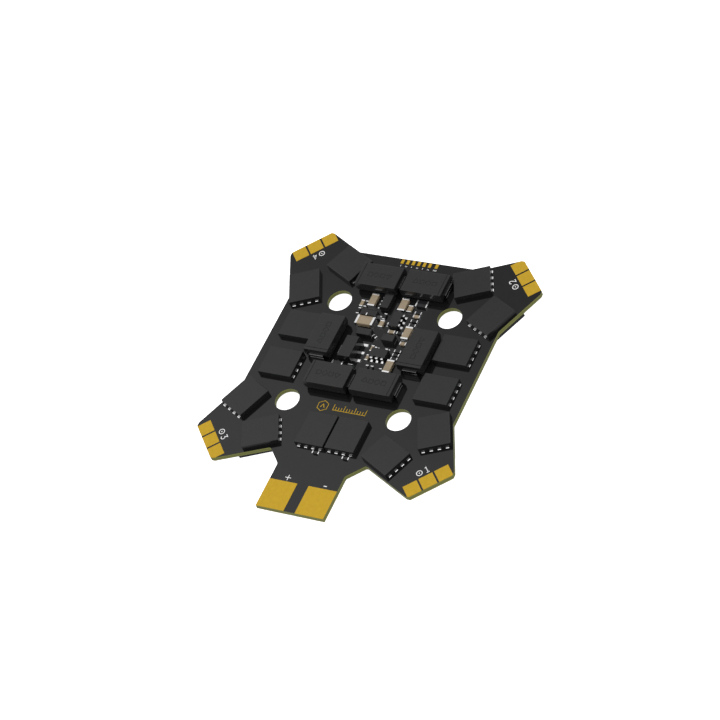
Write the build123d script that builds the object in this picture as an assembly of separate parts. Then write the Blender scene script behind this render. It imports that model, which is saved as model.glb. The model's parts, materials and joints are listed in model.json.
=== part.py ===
from build123d import *
import os

os.makedirs("parts", exist_ok=True)

# ---------------------------------------------------------------------------
# Four-motor electronic speed controller: an X-shaped circuit board with power
# transistors on its arms, tantalum capacitors round its middle and solder pads
# on the arm tips, the front tab and the back edge.
#
# Millimetres. The origin is the centre of the four mounting holes, on the
# board's upper face. +X points from arms 3 and 4 to arms 1 and 2, +Y points
# to the signal pads at the back, and +Z points up, away from the upper face.
# ---------------------------------------------------------------------------

# --- driving dimensions: the board ---
HOLE_SPACING = 20.0          # square mounting pattern
HOLE_RADIUS = 2.05
BOARD_THICKNESS = 0.80       # over both coats of solder mask
MASK = 0.025                 # one coat of solder mask
OUTER_PLY = 0.10             # each outer glass-epoxy ply
COPPER = 0.035               # each inner copper plane
COPPER_PULLBACK = 0.45       # from the board's edge and from the holes
PAD = 0.05                   # copper and gold of an outer pad

WAIST_X = 19.06              # half width between the arms
WAIST_Y = 9.0                # where an arm leaves the waist
BACK_Y = 19.95               # straight back edge
BACK_X = 11.0                # half length of the back edge
REACH_X = 22.84              # furthest X of an arm
REACH_Y = 22.93              # furthest Y of an arm
TIP_SIDE = 17.15             # the arm's side ends here, beside the tip facet
TIP_SUM = 40.65              # X plus Y along the tip facet
TAB_X = 6.0                  # half width of the battery tab
TAB_Y = -29.58               # front edge of the tab
TAB_ROOT_Y = -21.6
NECK_X = 8.55                # the tab's shoulder meets the front arm here
NECK_Y = -19.05
CORNER_RADIUS = 0.5
TIP_CORNER_RADIUS = 0.25

# --- driving dimensions: pads ---
BATTERY_PAD = (5.0, 5.13)
BATTERY_PAD_X = TAB_X - BATTERY_PAD[0] / 2
BATTERY_PAD_Y = TAB_Y + BATTERY_PAD[1] / 2
MOTOR_PAD_WIDTH = 2.33
MOTOR_PAD_PITCH = 2.63
MOTOR_PAD_DEPTH = 2.60       # before the arm's outline trims it
MOTOR_PAD_INNER = 26.46      # distance from the origin to the pads' inner edge
MOTOR_PAD_SHIFT = {1: 0.06, 2: 0.45, 3: 0.44, 4: 0.30}    # along the tip, away from the waist
SIGNAL_PAD_X = (-2.70, -1.71, -0.71, 0.29, 1.28, 2.28, 3.50)
SIGNAL_PAD_WIDTH = 0.51
SIGNAL_PAD_LENGTH = 0.85
SIGNAL_PAD_Y = BACK_Y - 0.12 - SIGNAL_PAD_LENGTH / 2

# --- driving dimensions: power transistors ---
FET_WIDTH = 5.1
FET_LENGTH = 6.0
FET_HEIGHT = 0.90
FET_LEAD = (0.50, 0.45, 0.10)    # width, length, thickness of one lead
FET_LEAD_PITCH = 1.27
FET_LEAD_SHOWS = 0.15            # how far a lead stands out of the body
FET_TAB = (4.2, 4.0, 0.20)       # drain plate under the body
ARM_ANGLE = 25.2                 # tilt of the transistors on the arms
ARM_FET = (16.95, 11.20)         # upper face, arm transistor nearest the waist
UNDER_ARM_FET = (17.50, 12.21)   # the same on the underside
WAIST_FET = (14.0, 3.80)
FRONT_FET_X = (-2.10, 3.35)
FRONT_FET_Y = -14.75
UNDER_BACK_FET = (3.60, 15.20)

# --- driving dimensions: tantalum capacitors ---
CAP_LENGTH = 7.40                # at the parting line of the moulding
CAP_WIDTH = 4.40
CAP_HEIGHT = 1.95
CAP_PARTING = 1.00               # height of the parting line
CAP_TERMINAL = (2.50, 0.12)      # width and thickness of the strip
CAP_LIP = 0.25                   # how far the strip stands out of the end
CAP_FOOT = 1.30                  # length of strip folded under the body
CAP_CREASE = (0.50, 0.03)        # height and size of the crease across the strip
CAP_GROOVE = (0.12, 0.06)        # width and depth of the polarity groove
CAP_GROOVE_INSET = 0.55
CAP_EDGE_RADIUS = 0.08
CAP_PAIR_X = 4.15
CAP_FRONT_Y = -5.21
CAP_BACK_Y = 14.67
CAP_SIDE_X = 8.40
CAP_SIDE_Y = 2.24

# --- chip parts: centre x, centre y, size along X, size along Y, height ---
CHIP_END_SHARE = 0.12            # of the length, in each metal end
CHIP_END_LEAST = 0.17
CERAMIC_LARGE = [(-3.47, 6.60, 3.20, 1.63, 0.80)]
CERAMIC_MEDIUM = [
    (-3.99, 10.90, 1.25, 2.45, 0.55), (1.50, 10.90, 1.25, 2.45, 0.55),
    (4.49, 5.68, 1.25, 2.45, 0.55), (4.22, -1.01, 1.25, 2.45, 0.55),
]
CERAMIC_SMALL = [
    (2.85, 10.37, 0.80, 1.30, 0.40), (-5.75, 10.06, 0.60, 1.25, 0.35),
    (-0.65, 6.72, 0.75, 1.30, 0.40), (-0.10, 1.89, 0.50, 1.10, 0.35),
    (-0.15, 0.06, 0.50, 1.10, 0.35), (4.57, 9.13, 1.20, 0.55, 0.35),
    (1.70, 5.53, 1.20, 0.58, 0.35), (4.61, 3.68, 1.15, 0.58, 0.35),
]
RESISTOR_LARGE = [
    (4.49, 11.58, 2.10, 1.25, 0.45), (-4.63, -1.87, 2.00, 0.62, 0.45), (-2.25, -2.27, 0.80, 1.20, 0.40),
]
RESISTOR_SMALL_X = [
    (4.56, 9.83), (4.58, 8.20), (4.60, 7.37), (3.22, 5.52), (4.39, 2.10), (4.39, 1.38),
    (4.39, 0.66), (-0.54, -18.6), (4.77, -18.6),
]
RESISTOR_SMALL_Y = [
    (-5.01, 10.04), (-5.69, 8.54), (-0.73, 8.20), (0.57, -1.91), (1.45, -1.92), (3.07, -2.13),
]
RESISTOR_SMALL = (1.20, 0.46, 0.33)
RESISTOR_TURNED = (-0.74, 4.17, 0.88, 0.50, 0.33)
RESISTOR_TURNED_ANGLE = -28
INDUCTORS = [(2.04, 3.94, 2.13, 1.22, 1.00), (-2.52, 4.35, 2.50, 1.20, 1.00)]
DIODE = (-3.32, 7.97, 3.00, 1.05, 1.00)

# --- leaded packages: body width across the leads, body length, height ---
SOT_BODY = (1.60, 2.90, 0.95)
SOT_ROWS = (-0.95, 0, 0.95)      # lead positions along the body
SOT_LEAD = (0.40, 0.13)          # width and thickness
SOT_SHOULDER = 0.75              # height of the leads where they leave the body
SOT_BEND = 0.30                  # from the body to where a lead turns down
SOT_FOOT = 0.60                  # from the body to the end of a foot
FINE_ROWS = (-1.05, -0.35, 0.35, 1.05)
FINE_LEAD_WIDTH = 0.22
FINE_SHOULDER = 0.38
COOLING_PLATE = (1.20, 2.00, 0.05)
BOOST_CHIP = (-1.33, 10.78)
BUCK_CHIP = (1.70, 7.62)
SENSE_CHIP = (1.74, 0.89)
REGULATOR = (-3.50, 0.80)
REGULATOR_BODY = (2.40, 4.30, 1.50)
REGULATOR_PITCH = 1.53
REGULATOR_LEAD = (0.46, 1.20, 0.15)
REGULATOR_TAB = (1.70, 0.90, 0.15)

# --- flat packages and shunts on the underside ---
CONTROLLER = (7.60, 3.40)
CONTROLLER_BODY = (3.0, 3.0, 0.75)
DRIVER = (14.0, 3.90)
DRIVER_BODY = (4.0, 4.0, 0.80)
FLAT_LEAD = (0.24, 0.40, 0.15)
FLAT_PITCH = 0.50
FLAT_LEAD_SHOWS = 0.04
SHUNT = (3.30, -19.60)
SHUNT_BODY = (3.20, 6.40, 0.60)

TOP = 0.0
BOTTOM = TOP - BOARD_THICKNESS
SIDES = (-1, 1)
MOTORS = {1: (1, -1), 2: (1, 1), 3: (-1, -1), 4: (-1, 1)}


# --- helpers ---------------------------------------------------------------
def save(name, *solids):
    """Write one node as a group of separate solids."""
    pieces = [s for shape in solids for s in shape.solids()]
    export_step(Compound(children=pieces), f"parts/{name}.step")


def block(x, y, size_x, size_y, low, high):
    """An upright box from its centre in plan and its two heights."""
    middle = (low + high) / 2
    return Pos(x, y, middle) * Box(size_x, size_y, high - low)


def slab(face, low, high):
    """A flat face pushed up into a plate between two heights."""
    return extrude(Pos(0, 0, low) * face, amount=high - low)


def underside(shape):
    """Turn a shape built on the upper face over onto the underside."""
    return Pos(0, 0, BOTTOM + TOP) * Rot(180, 0, 0) * shape


# --- the board -------------------------------------------------------------
def board_face():
    tip = [
        (TIP_SIDE, REACH_Y), (TIP_SUM - REACH_Y, REACH_Y),
        (REACH_X, TIP_SUM - REACH_X), (REACH_X, TIP_SIDE),
    ]
    right = [(TAB_X, TAB_Y), (TAB_X, TAB_ROOT_Y), (NECK_X, NECK_Y)]
    right += [(x, -y) for x, y in tip]
    right += [(WAIST_X, -WAIST_Y), (WAIST_X, WAIST_Y)]
    right += list(reversed(tip))
    right.append((BACK_X, BACK_Y))
    left = [(-x, y) for x, y in reversed(right)]
    face = Polygon(*(right + left), align=None)
    blunt = [v for v in face.vertices() if abs(v.X) < REACH_X - 0.1 and abs(v.Y) < TIP_SIDE + 4.8]
    face = fillet(blunt, CORNER_RADIUS)
    tips = [v for v in face.vertices() if abs(v.X) > TIP_SIDE - 0.1 and abs(v.Y) > TIP_SIDE - 0.1]
    return fillet(tips, TIP_CORNER_RADIUS)


def hole_faces(radius):
    half = HOLE_SPACING / 2
    return [Pos(x, y) * Circle(radius) for x in (-half, half) for y in (-half, half)]


OUTLINE = board_face()
BOARD = OUTLINE - hole_faces(HOLE_RADIUS)
PLANE = offset(OUTLINE, -COPPER_PULLBACK) - hole_faces(HOLE_RADIUS + COPPER_PULLBACK)


def battery_pad_face(side):
    return Pos(side * BATTERY_PAD_X, BATTERY_PAD_Y) * Rectangle(*BATTERY_PAD)


def motor_pad_faces(number):
    """Three pads across the tip of one arm, trimmed to the arm's outline."""
    side_x, side_y = MOTORS[number]
    angle = {(1, 1): -45, (1, -1): -135, (-1, -1): 135, (-1, 1): 45}[(side_x, side_y)]
    shift = -side_x * side_y * MOTOR_PAD_SHIFT[number]
    middle = MOTOR_PAD_INNER + MOTOR_PAD_DEPTH / 2
    faces = []
    for step in (-1, 0, 1):
        along = step * MOTOR_PAD_PITCH + shift
        pad = Pos(along, middle) * Rectangle(MOTOR_PAD_WIDTH, MOTOR_PAD_DEPTH)
        faces.append((Rot(0, 0, angle) * pad) & OUTLINE)
    return faces


def signal_pad_faces():
    pad = Rectangle(SIGNAL_PAD_WIDTH, SIGNAL_PAD_LENGTH)
    return [Pos(x, SIGNAL_PAD_Y) * pad for x in SIGNAL_PAD_X]


def make_board():
    """Two outer plies and a core, with a copper plane in each joint."""
    top_joint = TOP - MASK - OUTER_PLY
    bottom_joint = BOTTOM + MASK + OUTER_PLY
    upper_plane = slab(PLANE, top_joint - COPPER, top_joint)
    lower_plane = slab(PLANE, bottom_joint, bottom_joint + COPPER)
    save("laminate_upper_ply", slab(BOARD, top_joint, TOP - MASK))
    save("laminate_core", slab(BOARD, bottom_joint, top_joint) - upper_plane - lower_plane)
    save("laminate_lower_ply", slab(BOARD, BOTTOM + MASK, bottom_joint))
    save("copper_plane_power", upper_plane)
    save("copper_plane_ground", lower_plane)


def make_mask_and_pads():
    """Solder mask on both faces, open where the gold pads stand."""
    battery = {name: battery_pad_face(side) for name, side in (("positive", -1), ("negative", 1))}
    motors = {number: motor_pad_faces(number) for number in MOTORS}
    signals = signal_pad_faces()
    both_faces = list(battery.values()) + [pad for pads in motors.values() for pad in pads]
    save("solder_mask_top", slab(BOARD - both_faces - signals, TOP - MASK, TOP))
    save("solder_mask_bottom", slab(BOARD - both_faces, BOTTOM, BOTTOM + MASK))

    def on_top(face):
        return slab(face, TOP - MASK, TOP - MASK + PAD)

    def below(face):
        return slab(face, BOTTOM + MASK - PAD, BOTTOM + MASK)

    for name, face in battery.items():
        save(f"battery_pad_{name}", on_top(face), below(face))
    for number, faces in motors.items():
        pads = [on_top(face) for face in faces] + [below(face) for face in faces]
        save(f"motor_pads_{number}", *pads)
    save("signal_pads", *[on_top(face) for face in signals])


# --- power transistors -----------------------------------------------------
def transistor(x, y, angle):
    """Moulded body, and its drain plate and four leads, leads facing local -Y."""
    place = Pos(x, y, TOP) * Rot(0, 0, angle)
    width, length, thick = FET_LEAD
    lead_y = -FET_LENGTH / 2 - FET_LEAD_SHOWS + length / 2
    metal = [block((i - 1.5) * FET_LEAD_PITCH, lead_y, width, length, 0, thick) for i in range(4)]
    metal.append(block(0, FET_LENGTH / 2 + 0.1 - FET_TAB[1] / 2, *FET_TAB[:2], 0, FET_TAB[2]))
    body = block(0, 0, FET_WIDTH, FET_LENGTH, 0, FET_HEIGHT)
    body = chamfer(body.edges().group_by(Axis.Z)[-1], 0.05)
    for piece in metal:
        body -= piece
    return place * body, [place * piece for piece in metal]


def transistor_places(number):
    """The six transistors of one motor: (x, y, angle, on the underside)."""
    sx, sy = MOTORS[number]
    tilt = ARM_ANGLE * sx * sy
    places = []
    for (near, far), under in ((ARM_FET, False), (UNDER_ARM_FET, True)):
        places.append((sx * near, sy * far, -tilt, under))
        places.append((sx * far, sy * near, 90 + tilt, under))
    places.append((sx * WAIST_FET[0], sy * WAIST_FET[1], 90, False))
    if sy < 0:
        places.append((FRONT_FET_X[(sx + 1) // 2], FRONT_FET_Y, 0, False))
    else:
        places.append((sx * UNDER_BACK_FET[0], UNDER_BACK_FET[1], 0, True))
    return places


def make_transistors():
    for number in MOTORS:
        bodies = []
        metal = []
        for x, y, angle, under in transistor_places(number):
            if under:
                body, leads = transistor(x, -y, -angle)
                bodies.append(underside(body))
                metal += [underside(lead) for lead in leads]
            else:
                body, leads = transistor(x, y, angle)
                bodies.append(body)
                metal += leads
        save(f"mosfet_bodies_motor_{number}", *bodies)
        save(f"mosfet_leads_motor_{number}", *metal)


# --- tantalum capacitors ---------------------------------------------------
def tantalum_body(marked_end):
    """Moulding with draft above and below its parting line."""
    section = Rectangle(CAP_LENGTH, CAP_WIDTH)
    parting = Pos(0, 0, TOP + CAP_PARTING)
    thick = CAP_TERMINAL[1]
    upper = extrude(parting * section, amount=CAP_HEIGHT - CAP_PARTING, taper=4.5)
    upper = fillet(upper.edges().group_by(Axis.Z)[-1], CAP_EDGE_RADIUS)
    lower = extrude(parting * section, amount=-(CAP_PARTING - thick), taper=11)
    groove = block(
        marked_end * (CAP_LENGTH / 2 - CAP_GROOVE_INSET), 0, CAP_GROOVE[0], CAP_WIDTH + 1,
        TOP + CAP_HEIGHT - CAP_GROOVE[1], TOP + CAP_HEIGHT + 1,
    )
    return upper + lower - groove


def tantalum_terminal(end):
    """A strip that leaves the end at the parting line and folds under the body."""
    width, thick = CAP_TERMINAL
    face = CAP_LENGTH / 2
    outer = face + CAP_LIP
    top = CAP_PARTING + thick / 2
    crease, deep = CAP_CREASE
    strip = Polygon(
        (face, top), (face, top - thick), (outer - thick, top - thick), (outer - thick, thick),
        (outer - CAP_FOOT, thick), (outer - CAP_FOOT, 0), (outer, 0), (outer, crease - deep),
        (outer - deep, crease), (outer, crease + deep), (outer, top), align=None,
    )
    bends = [v for v in strip.vertices() if v.X > outer - 0.001 and v.Y in (0, top)]
    strip = fillet(bends, 0.06)
    solid = extrude(Plane.XZ * strip, amount=width / 2, both=True)
    solid = Pos(0, 0, TOP) * solid
    return solid if end > 0 else Rot(0, 0, 180) * solid


def make_tantalums():
    """Six capacitors: (name, x, y, angle, end that carries the polarity groove)."""
    places = [
        ("front_left", -CAP_PAIR_X, CAP_FRONT_Y, 0, -1), ("front_right", CAP_PAIR_X, CAP_FRONT_Y, 0, 1),
        ("back_left", -CAP_PAIR_X, CAP_BACK_Y, 0, -1), ("back_right", CAP_PAIR_X, CAP_BACK_Y, 0, 1),
        ("side_left", -CAP_SIDE_X, CAP_SIDE_Y, 90, -1), ("side_right", CAP_SIDE_X, CAP_SIDE_Y, 90, -1),
    ]
    for name, x, y, angle, marked_end in places:
        place = Pos(x, y) * Rot(0, 0, angle)
        save(f"tantalum_body_{name}", place * tantalum_body(marked_end))
        ends = [place * tantalum_terminal(end) for end in SIDES]
        save(f"tantalum_terminals_{name}", *ends)


# --- chip capacitors, resistors and inductors ------------------------------
def chip(x, y, size_x, size_y, height, turn=0):
    """A ceramic block between two metal ends, along its longer side."""
    long_x = size_x > size_y
    length, width = (size_x, size_y) if long_x else (size_y, size_x)
    end = max(CHIP_END_LEAST, CHIP_END_SHARE * length)
    body = block(0, 0, length - 2 * end, width - 0.04, 0.02, height - 0.02)
    ends = [block(s * (length - end) / 2, 0, end, width, 0, height) for s in SIDES]
    ends = [fillet(e.edges().filter_by(Axis.Y), 0.04) for e in ends]
    place = Pos(x, y, TOP) * Rot(0, 0, turn if long_x else turn + 90)
    return place * body, [place * e for e in ends]


def save_chips(body_name, end_name, sizes, under=()):
    bodies = []
    ends = []
    for size in sizes:
        body, metal = chip(*size)
        bodies.append(body)
        ends += metal
    for x, y, size_x, size_y, height in under:
        body, metal = chip(x, -y, size_x, size_y, height)
        bodies.append(underside(body))
        ends += [underside(e) for e in metal]
    save(body_name, *bodies)
    save(end_name, *ends)


def under_capacitors():
    """Decoupling capacitors beside each controller and driver on the underside."""
    places = []
    for sx in SIDES:
        for sy in SIDES:
            x, y = CONTROLLER
            places.append((sx * x, sy * (y + 2.35), 1.25, 0.65, 0.45))
            places.append((sx * (x - 2.35), sy * y, 0.65, 1.25, 0.45))
            x, y = DRIVER
            places += [(sx * (x - 1.3 + 1.3 * i), sy * (y - 2.75), 0.65, 1.20, 0.45) for i in range(3)]
    return places


def make_chips():
    save_chips("ceramic_capacitor_large", "ceramic_capacitor_large_ends", CERAMIC_LARGE)
    save_chips("ceramic_capacitors_medium", "ceramic_capacitors_medium_ends", CERAMIC_MEDIUM)
    small = CERAMIC_SMALL
    save_chips("ceramic_capacitors_small", "ceramic_capacitors_small_ends", small, under_capacitors())
    length, width, height = RESISTOR_SMALL
    resistors = list(RESISTOR_LARGE)
    resistors += [(x, y, length, width, height) for x, y in RESISTOR_SMALL_X]
    resistors += [(x, y, width, length, height) for x, y in RESISTOR_SMALL_Y]
    resistors.append((*RESISTOR_TURNED, RESISTOR_TURNED_ANGLE))
    save_chips("resistor_bodies", "resistor_ends", resistors)


def make_inductors():
    """Moulded power inductors, each with two terminals wrapped under its ends."""
    bodies = []
    terminals = []
    for x, y, size_x, size_y, height in INDUCTORS:
        pads = [block(x + s * (size_x / 2 - 0.25), y, 0.5, size_y - 0.2, 0, 0.12) for s in SIDES]
        body = block(x, y, size_x, size_y, 0, height)
        body = chamfer(body.edges().group_by(Axis.Z)[-1], 0.05)
        for pad in pads:
            body -= pad
        bodies.append(body)
        terminals += pads
    save("inductor_bodies", *bodies)
    save("inductor_terminals", *terminals)


# --- leaded packages -------------------------------------------------------
def moulded(width, length, height, parting, draft_angle=7):
    """Moulded body drafted both ways from the height where its leads leave it."""
    section = Pos(0, 0, parting) * Rectangle(width, length)
    upper = extrude(section, amount=height - parting, taper=draft_angle)
    lower = extrude(section, amount=-(parting - 0.05), taper=draft_angle)
    return upper + lower


def gull_lead(body_half, width, shoulder):
    """One gull-wing lead that leaves the body along +X."""
    thick = SOT_LEAD[1]
    bend = body_half + SOT_BEND
    foot = bend + 0.08
    toe = body_half + SOT_FOOT
    line = Polygon(
        (body_half, shoulder), (bend, shoulder), (foot, thick), (toe, thick), (toe, 0),
        (foot - thick, 0), (bend - thick, shoulder - thick), (body_half, shoulder - thick),
        align=None,
    )
    bends = [v for v in line.vertices() if body_half + 0.01 < v.X < toe - 0.01]
    return extrude(Plane.XZ * fillet(bends, 0.05), amount=width / 2, both=True)


def small_outline(x, y, angle, left_rows, right_rows, lead_width=SOT_LEAD[0], shoulder=SOT_SHOULDER):
    """A small-outline package; the rows list its lead positions on each side."""
    width, length, height = SOT_BODY
    place = Pos(x, y, TOP) * Rot(0, 0, angle)
    body = moulded(width, length, height, shoulder)
    lead = gull_lead(width / 2, lead_width, shoulder)
    leads = [Pos(0, row) * lead for row in right_rows]
    leads += [Pos(0, row) * Rot(0, 0, 180) * lead for row in left_rows]
    return place * body, [place * each for each in leads]


def make_small_outlines():
    for name, chip_place, angle, left_rows in (
        ("buck_converter", BUCK_CHIP, 0, SOT_ROWS[:1]),
        ("current_sense_amplifier", SENSE_CHIP, -90, (SOT_ROWS[0], SOT_ROWS[-1])),
    ):
        body, leads = small_outline(*chip_place, angle, left_rows, SOT_ROWS)
        save(f"{name}_body", body)
        save(f"{name}_leads", *leads)
    body, leads = small_outline(*BOOST_CHIP, 0, FINE_ROWS, (), FINE_LEAD_WIDTH, FINE_SHOULDER)
    plate_x, plate_y, thick = COOLING_PLATE
    leads.append(block(*BOOST_CHIP, plate_x, plate_y, TOP, TOP + thick))
    save("boost_converter_body", body)
    save("boost_converter_leads", *leads)


def make_regulator():
    """Linear regulator with three flat leads on +X and its cooling tab on -X."""
    width, length, height = REGULATOR_BODY
    place = Pos(*REGULATOR, TOP)
    lead_width, reach, thick = REGULATOR_LEAD
    metal = [
        block(width / 2 + reach / 2 - 0.1, row * REGULATOR_PITCH, reach + 0.2, lead_width, 0, thick)
        for row in (-1, 0, 1)
    ]
    tab_width, tab_reach, tab_thick = REGULATOR_TAB
    metal.append(block(-width / 2 - tab_reach / 2 + 0.1, 0, tab_reach + 0.2, tab_width, 0, tab_thick))
    body = moulded(width, length, height, REGULATOR_LEAD[2] + 0.1, 6)
    for piece in metal:
        body -= piece
    save("regulator_body", place * body)
    save("regulator_leads", *[place * piece for piece in metal])


def make_diode():
    """Rectifier with a flat terminal at each end."""
    x, y, length, width, height = DIODE
    place = Pos(x, y, TOP)
    metal = [block(s * (length / 2 + 0.1), 0, 0.7, 0.6, 0, 0.15) for s in SIDES]
    body = moulded(length, width, height, 0.3, 4)
    for piece in metal:
        body -= piece
    save("diode_body", place * body)
    save("diode_terminals", *[place * piece for piece in metal])


# --- flat packages on the underside ----------------------------------------
def flat_package(x, y, size, leads_per_side):
    """A leadless package: body, edge contacts on four sides and a centre plate."""
    width, length, height = size
    place = Pos(x, y, TOP)
    lead_width, lead_length, thick = FLAT_LEAD
    metal = []
    for turn in range(4):
        for i in range(leads_per_side):
            along = (i - (leads_per_side - 1) / 2) * FLAT_PITCH
            out = width / 2 + FLAT_LEAD_SHOWS - lead_length / 2
            lead = block(out, along, lead_length, lead_width, 0, thick)
            metal.append(Rot(0, 0, 90 * turn) * lead)
    plate = width - 1.4
    metal.append(block(0, 0, plate, plate, 0, thick))
    body = block(0, 0, width, length, 0, height)
    body = chamfer(body.edges().group_by(Axis.Z)[-1], 0.04)
    for piece in metal:
        body -= piece
    return place * body, [place * piece for piece in metal]


def make_flat_packages():
    for name, (x, y), size, leads in (
        ("microcontrollers", CONTROLLER, CONTROLLER_BODY, 5),
        ("gate_drivers", DRIVER, DRIVER_BODY, 6),
    ):
        bodies = []
        metal = []
        for sx in SIDES:
            for sy in SIDES:
                body, pieces = flat_package(sx * x, sy * y, size, leads)
                bodies.append(underside(body))
                metal += [underside(piece) for piece in pieces]
        save(f"{name}_bodies", *bodies)
        save(f"{name}_contacts", *metal)


def make_shunts():
    """Two current shunts on the underside, behind the battery pads."""
    width, length, height = SHUNT_BODY
    x, y = SHUNT
    end = 1.3
    elements = []
    ends = []
    for s in SIDES:
        elements.append(underside(block(s * x, -y, width, length - 2 * end, 0.12, height)))
        for e in SIDES:
            ends.append(underside(block(s * x, -y + e * (length - end) / 2, width, end, 0, height)))
    save("shunt_elements", *elements)
    save("shunt_ends", *ends)


make_board()
make_mask_and_pads()
make_transistors()
make_tantalums()
make_chips()
make_inductors()
make_small_outlines()
make_regulator()
make_diode()
make_flat_packages()
make_shunts()
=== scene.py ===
import json
import math

import bmesh
import bpy
from mathutils import Matrix, Vector


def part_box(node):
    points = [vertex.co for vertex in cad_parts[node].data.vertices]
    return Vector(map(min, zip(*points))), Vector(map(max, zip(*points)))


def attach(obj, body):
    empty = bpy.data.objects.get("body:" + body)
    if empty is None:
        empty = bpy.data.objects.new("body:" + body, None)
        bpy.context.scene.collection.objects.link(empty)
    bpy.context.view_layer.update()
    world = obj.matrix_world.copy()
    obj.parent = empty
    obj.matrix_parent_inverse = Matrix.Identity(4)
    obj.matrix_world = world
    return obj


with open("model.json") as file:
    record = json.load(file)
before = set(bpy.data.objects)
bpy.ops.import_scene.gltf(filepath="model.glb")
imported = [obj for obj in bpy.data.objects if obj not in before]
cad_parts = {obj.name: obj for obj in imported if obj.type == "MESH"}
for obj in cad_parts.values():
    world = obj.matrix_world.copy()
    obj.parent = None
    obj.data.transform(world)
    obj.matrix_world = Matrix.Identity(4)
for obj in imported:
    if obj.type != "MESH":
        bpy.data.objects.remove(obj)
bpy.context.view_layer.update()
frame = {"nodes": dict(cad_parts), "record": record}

MM = 0.001
nodes = frame["nodes"]


# --- places taken from the frame ---------------------------------------------
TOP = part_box("solder_mask_top")[1].z / MM
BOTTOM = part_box("solder_mask_bottom")[0].z / MM
CAP_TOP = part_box("tantalum_body_front_left")[1].z / MM
DIODE_LOW, DIODE_HIGH = (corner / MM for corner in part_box("diode_body"))
FLOOR = min(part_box(name)[0].z for name in nodes) - 0.05 * MM


# --- node tree helpers -------------------------------------------------------
def new_material(name):
    material = bpy.data.materials.new(name)
    material.use_nodes = True
    tree = material.node_tree
    shader = tree.nodes["Principled BSDF"]
    return material, tree, shader


def add(tree, kind, inputs=None, **settings):
    """A node with its settings and the values or links of its inputs."""
    node = tree.nodes.new(kind)
    for key, value in settings.items():
        setattr(node, key, value)
    for key, value in (inputs or {}).items():
        if isinstance(value, bpy.types.NodeSocket):
            tree.links.new(value, node.inputs[key])
        else:
            node.inputs[key].default_value = value
    return node


def position(tree):
    """Object coordinates in millimetres."""
    coords = add(tree, "ShaderNodeTexCoord")
    return add(tree, "ShaderNodeVectorMath", {0: coords.outputs["Object"], "Scale": 1000.0},
               operation="SCALE").outputs[0]


def noise(tree, where, scale, detail=3.0, roughness=0.5, stretch=None):
    if stretch:
        where = add(tree, "ShaderNodeVectorMath", {0: where, 1: stretch},
                    operation="MULTIPLY").outputs[0]
    return add(tree, "ShaderNodeTexNoise", {"Vector": where, "Scale": scale, "Detail": detail,
                                            "Roughness": roughness}).outputs["Fac"]


def spread(tree, value, low, high, from_low=0.3, from_high=0.7, **settings):
    """Map a value onto a range."""
    inputs = {"Value": value, "From Min": from_low, "From Max": from_high, "To Min": low, "To Max": high}
    return add(tree, "ShaderNodeMapRange", inputs, **settings).outputs[0]


def math_node(tree, operation, *values):
    return add(tree, "ShaderNodeMath", dict(enumerate(values)), operation=operation).outputs[0]


def blend_colours(tree, share, first, second):
    mix = add(tree, "ShaderNodeMix", data_type="RGBA")
    for key, colour in (("A", first), ("B", second)):
        if isinstance(colour, bpy.types.NodeSocket):
            tree.links.new(colour, mix.inputs[key])
        else:
            mix.inputs[key].default_value = (*colour, 1)
    tree.links.new(share, mix.inputs["Factor"])
    return mix.outputs["Result"]


def bump(tree, shader, height, strength, distance_mm):
    node = add(tree, "ShaderNodeBump", {"Height": height, "Strength": strength,
                                        "Distance": distance_mm * MM})
    tree.links.new(node.outputs[0], shader.inputs["Normal"])


# --- materials ---------------------------------------------------------------
def make_mask():
    """Glossy black solder mask with the faint unevenness of a printed coat."""
    material, tree, shader = new_material("solder_mask")
    where = position(tree)
    shade = spread(tree, noise(tree, where, 0.35, 4), 0.0, 1.0)
    tree.links.new(blend_colours(tree, shade, (0.0040, 0.0040, 0.0045), (0.0055, 0.0055, 0.006)),
                   shader.inputs["Base Color"])
    tree.links.new(spread(tree, noise(tree, where, 2.5, 5), 0.05, 0.10), shader.inputs["Roughness"])
    shader.inputs["IOR"].default_value = 1.43
    bump(tree, shader, noise(tree, where, 1.2, 2), 0.02, 0.012)
    return material


def make_plastic(name, dark, light, rough, grain=22.0, strength=0.05):
    """Black moulding compound: fine grain, slightly cloudy colour."""
    material, tree, shader = new_material(name)
    where = position(tree)
    shade = spread(tree, noise(tree, where, 0.9, 4), 0.0, 1.0)
    tree.links.new(blend_colours(tree, shade, dark, light), shader.inputs["Base Color"])
    tree.links.new(spread(tree, noise(tree, where, 3.0, 4), rough - 0.03, rough + 0.03),
                   shader.inputs["Roughness"])
    shader.inputs["IOR"].default_value = 1.45
    bump(tree, shader, noise(tree, where, grain, 3, 0.6), strength, 0.004)
    return material


def make_laminate():
    """Olive glass-epoxy: two lighter layers of cloth with a dark line between them."""
    material, tree, shader = new_material("laminate")
    where = position(tree)
    height = add(tree, "ShaderNodeSeparateXYZ", {0: where}).outputs["Z"]
    from_middle = math_node(tree, "ABSOLUTE", math_node(tree, "SUBTRACT", height, (TOP + BOTTOM) / 2))
    band = spread(tree, from_middle, 0.0, 1.0, 0.015, 0.07, interpolation_type="SMOOTHSTEP")
    edge = spread(tree, from_middle, 1.0, 0.75, 0.30, 0.40, interpolation_type="SMOOTHSTEP")
    strands = noise(tree, where, 1.0, 3, 0.6, stretch=(5.0, 5.0, 9.0))
    share = math_node(tree, "MULTIPLY", math_node(tree, "MULTIPLY", band, edge),
                      spread(tree, strands, 0.55, 1.0))
    tree.links.new(blend_colours(tree, share, (0.10, 0.105, 0.028), (0.225, 0.238, 0.062)),
                   shader.inputs["Base Color"])
    tree.links.new(spread(tree, strands, 0.30, 0.42), shader.inputs["Roughness"])
    shader.inputs["IOR"].default_value = 1.38
    bump(tree, shader, strands, 0.2, 0.01)
    return material


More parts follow.
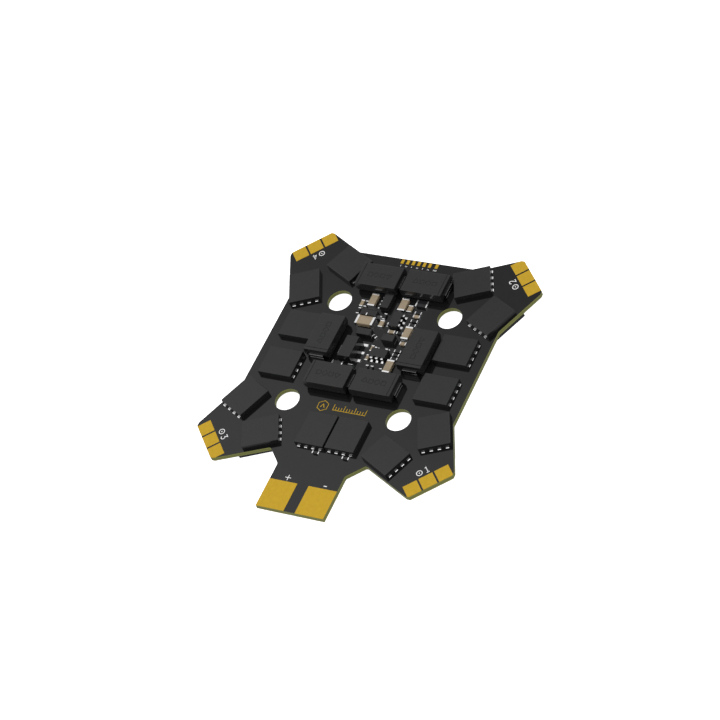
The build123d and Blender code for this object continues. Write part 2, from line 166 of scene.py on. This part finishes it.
def make_metal(name, dark, light, rough_low, rough_high, grain=4.0, strength=0.05):
    material, tree, shader = new_material(name)
    where = position(tree)
    share = spread(tree, noise(tree, where, grain * 0.4, 4), 0.0, 1.0)
    tree.links.new(blend_colours(tree, share, dark, light), shader.inputs["Base Color"])
    tree.links.new(spread(tree, noise(tree, where, grain, 4), rough_low, rough_high),
                   shader.inputs["Roughness"])
    shader.inputs["Metallic"].default_value = 1.0
    bump(tree, shader, noise(tree, where, grain * 4, 3), strength, 0.005)
    return material


def make_ceramic():
    """Fired tan ceramic with fine darker specks."""
    material, tree, shader = new_material("ceramic")
    where = position(tree)
    cloud = spread(tree, noise(tree, where, 2.0, 4), 0.0, 1.0)
    base = blend_colours(tree, cloud, (0.285, 0.225, 0.145), (0.335, 0.265, 0.175))
    speck = spread(tree, noise(tree, where, 26.0, 2), 0.0, 0.7, 0.62, 0.72)
    tree.links.new(blend_colours(tree, speck, base, (0.20, 0.15, 0.09)), shader.inputs["Base Color"])
    shader.inputs["Roughness"].default_value = 0.35
    bump(tree, shader, noise(tree, where, 18.0, 3), 0.1, 0.005)
    return material


def make_ink():
    """White legend ink, a little uneven."""
    material, tree, shader = new_material("legend_ink")
    where = position(tree)
    share = spread(tree, noise(tree, where, 6.0, 4), 0.0, 1.0)
    tree.links.new(blend_colours(tree, share, (0.76, 0.76, 0.75), (0.86, 0.86, 0.85)),
                   shader.inputs["Base Color"])
    shader.inputs["Roughness"].default_value = 0.5
    bump(tree, shader, share, 0.2, 0.003)
    return material


def make_marking():
    """Capacitor plastic on the raised outlines: duller and darker."""
    material, tree, shader = new_material("moulded_marking")
    where = position(tree)
    shade = spread(tree, noise(tree, where, 5.0, 4), 0.0, 1.0)
    tree.links.new(blend_colours(tree, shade, (0.0065, 0.0065, 0.007), (0.0085, 0.0085, 0.009)),
                   shader.inputs["Base Color"])
    shader.inputs["Roughness"].default_value = 0.4
    shader.inputs["IOR"].default_value = 1.34
    bump(tree, shader, noise(tree, where, 20.0, 3), 0.1, 0.004)
    return material


MATERIALS = {
    "solder_mask": make_mask(),
    "package_plastic": make_plastic("package_plastic", (0.0085, 0.0085, 0.009),
                                    (0.0105, 0.0105, 0.011), 0.2),
    "capacitor_plastic": make_plastic("capacitor_plastic", (0.0085, 0.0085, 0.009),
                                      (0.0105, 0.0105, 0.011), 0.22),
    "inductor_body": make_plastic("inductor_body", (0.008, 0.008, 0.0085),
                                  (0.011, 0.011, 0.0115), 0.3, grain=30.0, strength=0.08),
    "resistor_glaze": make_plastic("resistor_glaze", (0.006, 0.006, 0.008),
                                   (0.009, 0.009, 0.011), 0.12),
    "laminate": make_laminate(),
    "copper": make_metal("copper", (0.62, 0.30, 0.17), (0.75, 0.40, 0.25), 0.25, 0.4),
    "gold_pad": make_metal("gold_pad", (0.57, 0.37, 0.033), (0.62, 0.405, 0.041), 0.46, 0.56),
    "solder_tin": make_metal("solder_tin", (0.95, 0.95, 0.95), (0.98, 0.98, 0.98), 0.08, 0.15),
    "terminal_plate": make_metal("terminal_plate", (0.15, 0.15, 0.155),
                                 (0.20, 0.20, 0.205), 0.16, 0.22),
    "shunt_alloy": make_metal("shunt_alloy", (0.34, 0.29, 0.26), (0.48, 0.42, 0.38), 0.3, 0.45),
    "ceramic": make_ceramic(),
    "legend_ink": make_ink(),
}
MARKING = make_marking()

for part in frame["record"]["subparts"]:
    mesh = nodes[part["node"]].data
    mesh.materials.clear()
    mesh.materials.append(MATERIALS[part["material_slot"]])


def finish_piece(name, shape, slot, material=None):
    """Turn a bmesh drawn in millimetres into a piece that rides with the board."""
    bmesh.ops.recalc_face_normals(shape, faces=shape.faces)
    bmesh.ops.scale(shape, vec=(MM, MM, MM), verts=shape.verts)
    mesh = bpy.data.meshes.new(name)
    shape.to_mesh(mesh)
    shape.free()
    mesh.materials.append(material or MATERIALS[slot])
    piece = bpy.data.objects.new(name, mesh)
    bpy.context.scene.collection.objects.link(piece)
    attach(piece, "root")


# --- printed and moulded marks -----------------------------------------------
INK_RISE = 0.012


def mitred_sides(points, width, closed):
    """The two edges of a stroke of constant width along a line of points."""
    count = len(points)
    left, right = [], []
    for i, here in enumerate(points):
        before = points[i - 1] if closed or i else None
        after = points[(i + 1) % count] if closed or i < count - 1 else None
        ways = [(b - a).normalized() for a, b in ((before, here), (here, after))
                if a is not None and b is not None]
        way = sum(ways, Vector((0, 0))).normalized()
        across = Vector((-way.y, way.x))
        reach = width / 2 / max(0.5, way.dot(ways[0]))
        left.append(here + across * reach)
        right.append(here - across * reach)
    return left, right


def draw_stroke(shape, points, width, low, closed=False):
    """A thin printed line that stands a hair above the surface."""
    left, right = mitred_sides([Vector(p) for p in points], width, closed)
    levels = (low - 0.002, low + INK_RISE)
    rings = [[[shape.verts.new((p.x, p.y, z)) for p in side] for side in (left, right)]
             for z in levels]
    (low_left, low_right), (high_left, high_right) = rings
    count = len(left)
    for i in range(count if closed else count - 1):
        j = (i + 1) % count
        shape.faces.new((high_left[i], high_left[j], high_right[j], high_right[i]))
        shape.faces.new((low_left[i], low_right[i], low_right[j], low_left[j]))
        shape.faces.new((low_left[i], low_left[j], high_left[j], high_left[i]))
        shape.faces.new((low_right[j], low_right[i], high_right[i], high_right[j]))
    if not closed:
        for i in (0, count - 1):
            shape.faces.new((low_left[i], high_left[i], high_right[i], low_right[i]))


def placed(points, centre, up, size=1.0):
    """Points drawn upright about the origin, turned so that their top faces up."""
    up = Vector(up).normalized()
    across = Vector((up.y, -up.x))
    return [Vector(centre) + across * (x * size) + up * (y * size) for x, y in points]


def circle_points(radius, count=28, turn=0.0):
    steps = [turn + 2 * math.pi * i / count for i in range(count)]
    return [(radius * math.cos(a), radius * math.sin(a)) for a in steps]


DIGITS = {
    1: [[(-0.20, 0.34), (0.03, 0.55), (0.03, -0.55)], [(-0.24, -0.55), (0.28, -0.55)]],
    2: [[(-0.29, 0.30), (-0.20, 0.49), (0.0, 0.55), (0.20, 0.49), (0.29, 0.29), (0.20, 0.06),
         (-0.29, -0.55), (0.31, -0.55)]],
    3: [[(-0.28, 0.55), (0.27, 0.55), (-0.02, 0.13), (0.21, 0.04), (0.30, -0.20), (0.22, -0.46),
         (0.0, -0.56), (-0.20, -0.50), (-0.31, -0.33)]],
    4: [[(0.13, -0.55), (0.13, 0.55), (-0.30, -0.20), (0.32, -0.20)]],
}
LINE = 0.125            # width of the label strokes
RING_RADIUS = 0.45
LABEL_HALF_GAP = 0.62   # from the label's middle to its ring and to its digit
LABEL_REACH = 25.5      # from the board's centre
LABEL_SHIFT = {1: 0.06, 2: 0.35, 3: 0.55, 4: 0.15}
TICK_Y = 18.42
TICK_PITCH = 0.22
ARMS = {1: (1, -1), 2: (1, 1), 3: (-1, -1), 4: (-1, 1)}


def draw_motor_labels(shape):
    """On each arm a ring with a dot, for the motor, and the motor's number."""
    for number, (side_x, side_y) in ARMS.items():
        out = Vector((side_x, side_y)).normalized()
        along = Vector((-side_x, side_y)).normalized()
        centre = out * LABEL_REACH + along * LABEL_SHIFT[number]
        across = Vector((-out.y, out.x))
        ring = centre - across * LABEL_HALF_GAP
        draw_stroke(shape, placed(circle_points(RING_RADIUS), ring, -out), LINE, TOP, closed=True)
        draw_stroke(shape, placed([(-0.09, 0), (0.09, 0)], ring, -out), 0.18, TOP)
        for line in DIGITS[number]:
            digit = placed(line, centre + across * LABEL_HALF_GAP, -out, 0.95)
            draw_stroke(shape, digit, LINE, TOP)


def draw_battery_signs(shape):
    """A plus and a minus behind the battery pads."""
    for line in ([(-0.5, 0), (0.5, 0)], [(0, -0.5), (0, -0.08)], [(0, 0.08), (0, 0.5)]):
        draw_stroke(shape, placed(line, (-3.02, -23.72), (0, 1)), 0.12, TOP)
    draw_stroke(shape, placed([(-0.28, 0), (0.28, 0)], (3.70, -23.95), (0, 1)), 0.15, TOP)


def draw_signal_marks(shape):
    """Small ticks in front of the signal pads, in groups that tell them apart."""
    places = sorted(centre_of(pad).x for pad in islands("signal_pads"))
    for step, (x, count) in enumerate(zip(places, (1, 2, 1, 2, 1, 2, 3))):
        tall = 0.22 if step % 2 else 0.30
        for i in range(count):
            at = x + (i - (count - 1) / 2) * TICK_PITCH
            draw_stroke(shape, [(at, TICK_Y), (at, TICK_Y + tall)], 0.09, TOP)


def draw_diode_tick(shape):
    """A short tick on top of the diode."""
    x = DIODE_LOW.x + 1.25
    middle = (DIODE_LOW.y + DIODE_HIGH.y) / 2
    draw_stroke(shape, [(x, middle - 0.53), (x, middle - 0.11)], 0.16, DIODE_HIGH.z)


def draw_gold_marks(shape):
    """A plain hexagon and a graduated row of bars, in exposed gold."""
    centre, up = (-3.5, -9.95), (0, 1)
    hexagon = circle_points(0.98, 6, math.pi / 6)
    chevron = [(-0.36, -0.3), (0.0, 0.34), (0.36, -0.3)]
    draw_stroke(shape, placed(hexagon, centre, up), 0.10, TOP, closed=True)
    draw_stroke(shape, placed(chevron, centre, up), 0.13, TOP)
    for i in range(13):
        x = -1.55 + i * 0.48
        tall = 1.0 if i % 4 == 0 else 0.55
        draw_stroke(shape, [(x, -10.32), (x, -10.32 + tall)], 0.11, TOP)
    draw_stroke(shape, [(-1.62, -10.39), (4.28, -10.39)], 0.10, TOP)


def draw_moulded_marks(shape):
    """A faint row of small plain outlines across the top of each capacitor."""
    outlines = (circle_points(0.55, 3, math.pi / 2), circle_points(0.52, 4, math.pi / 4),
                circle_points(0.52, 4), circle_points(0.52, 4, math.pi / 4))
    for name, up in (("front_left", (0, -1)), ("front_right", (0, 1)), ("back_left", (0, -1)),
                     ("back_right", (0, 1)), ("side_left", (-1, 0)), ("side_right", (1, 0))):
        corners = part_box("tantalum_body_" + name)
        centre = Vector(((corners[0].x + corners[1].x) / 2, (corners[0].y + corners[1].y) / 2)) / MM
        across = Vector((up[1], -up[0]))
        for i, outline in enumerate(outlines):
            at = centre + across * ((i - 1.5) * 1.12)
            draw_stroke(shape, placed(outline, at, up), 0.10, CAP_TOP, closed=True)


# --- solder ------------------------------------------------------------------
FILLET_STEPS = 5
FILLET_SUNK = 0.01      # how far a fillet reaches into its contact
FILLET_TOE = 0.004      # its thickness at the far end


def islands(name):
    """The separate solids of a node, each as its vertices in millimetres."""
    shape = bmesh.new()
    shape.from_mesh(nodes[name].data)
    bmesh.ops.remove_doubles(shape, verts=shape.verts, dist=1e-7)
    seen = set()
    groups = []
    for start in shape.verts:
        if start in seen:
            continue
        seen.add(start)
        queue = [start]
        group = []
        while queue:
            vertex = queue.pop()
            group.append(vertex.co / MM)
            for edge in vertex.link_edges:
                other = edge.other_vert(vertex)
                if other not in seen:
                    seen.add(other)
                    queue.append(other)
        groups.append(group)
    shape.free()
    return groups


def centre_of(points):
    return Vector(((min(p[i] for p in points) + max(p[i] for p in points)) / 2 for i in range(3)))


def draw_fillet(shape, points, out, rise, run, hollow=1.6):
    """A fillet of solder from the outer face of a contact down to the board.

    The higher hollow is above one, the more its slope sinks in.
    """
    out = Vector((out.x, out.y, 0)).normalized()
    side = Vector((-out.y, out.x, 0))
    upper = centre_of(points).z > (TOP + BOTTOM) / 2
    board, way = (TOP, 1) if upper else (BOTTOM, -1)
    reach = max(p.dot(out) for p in points)
    across = [p.dot(side) for p in points if p.dot(out) > reach - 0.1]
    low, high = min(across), max(across)
    start = reach - FILLET_SUNK
    rows = []
    for i in range(FILLET_STEPS + 1):
        t = i / FILLET_STEPS
        level = board + way * (rise * (1 - t) ** hollow + FILLET_TOE)
        base = out * (start + run * t)
        rows.append([shape.verts.new(base + side * s + Vector((0, 0, level))) for s in (low, high)])
    foot = [shape.verts.new(out * d + side * s + Vector((0, 0, board)))
            for d, s in ((start, low), (start, high), (start + run, high), (start + run, low))]
    for (a, b), (c, d) in zip(rows, rows[1:]):
        shape.faces.new((a, b, d, c))
    shape.faces.new((rows[0][0], foot[0], foot[1], rows[0][1]))
    shape.faces.new((rows[-1][0], rows[-1][1], foot[2], foot[3]))
    shape.faces.new([row[0] for row in rows] + [foot[3], foot[0]])
    shape.faces.new([row[1] for row in rows] + [foot[2], foot[1]])
    shape.faces.new(foot)


def nearest(points, bodies):
    here = centre_of(points)
    return min(bodies, key=lambda body: (body - here).length)


def draw_chip_solder(shape, end_node, body_node, rise, run):
    """Fillets at both ends of each chip part."""
    bodies = [centre_of(body) for body in islands(body_node)]
    for end in islands(end_node):
        draw_fillet(shape, end, centre_of(end) - nearest(end, bodies), rise, run)


def draw_transistor_solder(shape, number):
    """Fillets at the four leads of each transistor, and none at its drain plate."""
    bodies = [centre_of(body) for body in islands(f"mosfet_bodies_motor_{number}")]
    leads = islands(f"mosfet_leads_motor_{number}")
    for body in bodies:
        own = [lead for lead in leads if nearest(lead, bodies) == body]
        contacts = [lead for lead in own if max((p - lead[0]).length for p in lead) < 1.5]
        out = sum((centre_of(lead) for lead in contacts), Vector()) / len(contacts) - body
        for lead in contacts:
            draw_fillet(shape, lead, out, 0.07, 0.07, hollow=1.1)


def draw_lead_solder(shape, lead_node, body_node, rise, run):
    """Fillets in front of the straight or gull-wing leads along a package's sides."""
    low, high = (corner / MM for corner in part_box(body_node))
    for lead in islands(lead_node):
        here = centre_of(lead)
        over_x = max(low.x - here.x, here.x - high.x)
        over_y = max(low.y - here.y, here.y - high.y)
        if max(over_x, over_y) < 0:
            continue
        middle = (low + high) / 2
        away = here - middle
        out = Vector((away.x, 0, 0)) if over_x > over_y else Vector((0, away.y, 0))
        draw_fillet(shape, [p for p in lead if p.z < TOP + 0.2], out, rise, run)


def draw_contact_solder(shape, contact_node, body_node):
    """Short fillets at the edge contacts of the flat packages."""
    bodies = [centre_of(body) for body in islands(body_node)]
    for contact in islands(contact_node):
        away = centre_of(contact) - nearest(contact, bodies)
        if max(abs(away.x), abs(away.y)) < 1.0:
            continue
        out = Vector((away.x, 0, 0)) if abs(away.x) > abs(away.y) else Vector((0, away.y, 0))
        draw_fillet(shape, contact, out, 0.1, 0.12)


shape = bmesh.new()
draw_motor_labels(shape)
draw_battery_signs(shape)
draw_signal_marks(shape)
draw_diode_tick(shape)
finish_piece("legend_marks", shape, "legend_ink")

shape = bmesh.new()
draw_gold_marks(shape)
finish_piece("gold_marks", shape, "gold_pad")

shape = bmesh.new()
draw_moulded_marks(shape)
finish_piece("capacitor_moulded_marks", shape, "capacitor_plastic", MARKING)

shape = bmesh.new()
for number in ARMS:
    draw_transistor_solder(shape, number)
finish_piece("transistor_solder", shape, "solder_tin")

shape = bmesh.new()
draw_chip_solder(shape, "ceramic_capacitor_large_ends", "ceramic_capacitor_large", 0.14, 0.04)
draw_chip_solder(shape, "ceramic_capacitors_medium_ends", "ceramic_capacitors_medium", 0.10, 0.03)
draw_chip_solder(shape, "ceramic_capacitors_small_ends", "ceramic_capacitors_small", 0.06, 0.02)
draw_chip_solder(shape, "resistor_ends", "resistor_bodies", 0.05, 0.015)
draw_chip_solder(shape, "shunt_ends", "shunt_elements", 0.28, 0.25)
draw_lead_solder(shape, "boost_converter_leads", "boost_converter_body", 0.04, 0.015)
draw_lead_solder(shape, "buck_converter_leads", "buck_converter_body", 0.04, 0.015)
draw_lead_solder(shape, "current_sense_amplifier_leads", "current_sense_amplifier_body", 0.04, 0.015)
draw_lead_solder(shape, "regulator_leads", "regulator_body", 0.06, 0.04)
draw_lead_solder(shape, "diode_terminals", "diode_body", 0.06, 0.05)
draw_contact_solder(shape, "microcontrollers_contacts", "microcontrollers_bodies")
draw_contact_solder(shape, "gate_drivers_contacts", "gate_drivers_bodies")
finish_piece("component_solder", shape, "solder_tin")


# --- stage, light and camera -------------------------------------------------
OVERHEAD = 1.13         # strength of the light above, outside the dim band
BAND_DEPTH = 0.62       # how much of it the dim band takes away
BELOW = 0.42            # strength of the light from below


def make_floor():
    """A pure white sheet that the camera sees but that adds no light or reflection of its own."""
    size = 4.0
    mesh = bpy.data.meshes.new("floor")
    corners = [(-size, -size, 0), (size, -size, 0), (size, size, 0), (-size, size, 0)]
    mesh.from_pydata(corners, [], [(0, 1, 2, 3)])
    floor = bpy.data.objects.new("floor", mesh)
    floor.location.z = FLOOR
    floor.visible_diffuse = False
    floor.visible_glossy = False
    floor.visible_shadow = False
    bpy.context.scene.collection.objects.link(floor)
    material, _, shader = new_material("floor")
    shader.inputs["Base Color"].default_value = (0.9, 0.9, 0.9, 1)
    shader.inputs["Roughness"].default_value = 0.9
    shader.inputs["Specular IOR Level"].default_value = 0.0
    shader.inputs["Emission Color"].default_value = (1, 1, 1, 1)
    shader.inputs["Emission Strength"].default_value = 1.0
    mesh.materials.append(material)


def make_world():
    """An even soft light overhead with one dim band at the back, and a dimmer light from below."""
    world = bpy.data.worlds.new("studio")
    bpy.context.scene.world = world
    world.use_nodes = True
    tree = world.node_tree
    background = tree.nodes["Background"]
    way = add(tree, "ShaderNodeTexCoord").outputs["Generated"]
    axes = add(tree, "ShaderNodeSeparateXYZ", {0: way}).outputs
    falling = spread(tree, axes["Y"], 0.0, BAND_DEPTH, 0.42, 0.53, interpolation_type="SMOOTHSTEP")
    rising = spread(tree, axes["Y"], 1.0, 0.0, 0.62, 0.76, interpolation_type="SMOOTHSTEP")
    overhead = math_node(tree, "SUBTRACT", OVERHEAD, math_node(tree, "MULTIPLY", falling, rising))
    share = spread(tree, axes["Z"], 0.0, 1.0, -0.08, 0.08, interpolation_type="SMOOTHSTEP")
    extra = math_node(tree, "MULTIPLY", math_node(tree, "SUBTRACT", overhead, BELOW), share)
    tree.links.new(math_node(tree, "ADD", extra, BELOW), background.inputs["Strength"])
    background.inputs["Color"].default_value = (1, 1, 1, 1)


def make_camera():
    """A long lens above the board's right front corner."""
    right = Vector((0.859534, 0.405925, -0.310525))
    up = Vector((-0.149817, 0.781019, 0.606271))
    ahead = Vector((-0.488626, 0.474589, -0.732127))
    place = Vector((201.39, -197.33, 303.68 + TOP)) * MM
    data = bpy.data.cameras.new("camera")
    data.lens = 132.9
    data.sensor_width = 36.0
    data.clip_start = 0.01
    camera = bpy.data.objects.new("camera", data)
    camera.matrix_world = Matrix.Translation(place) @ Matrix((right, up, -ahead)).transposed().to_4x4()
    bpy.context.scene.collection.objects.link(camera)
    bpy.context.scene.camera = camera


make_floor()
make_world()
make_camera()
bpy.context.scene.view_settings.view_transform = "Standard"
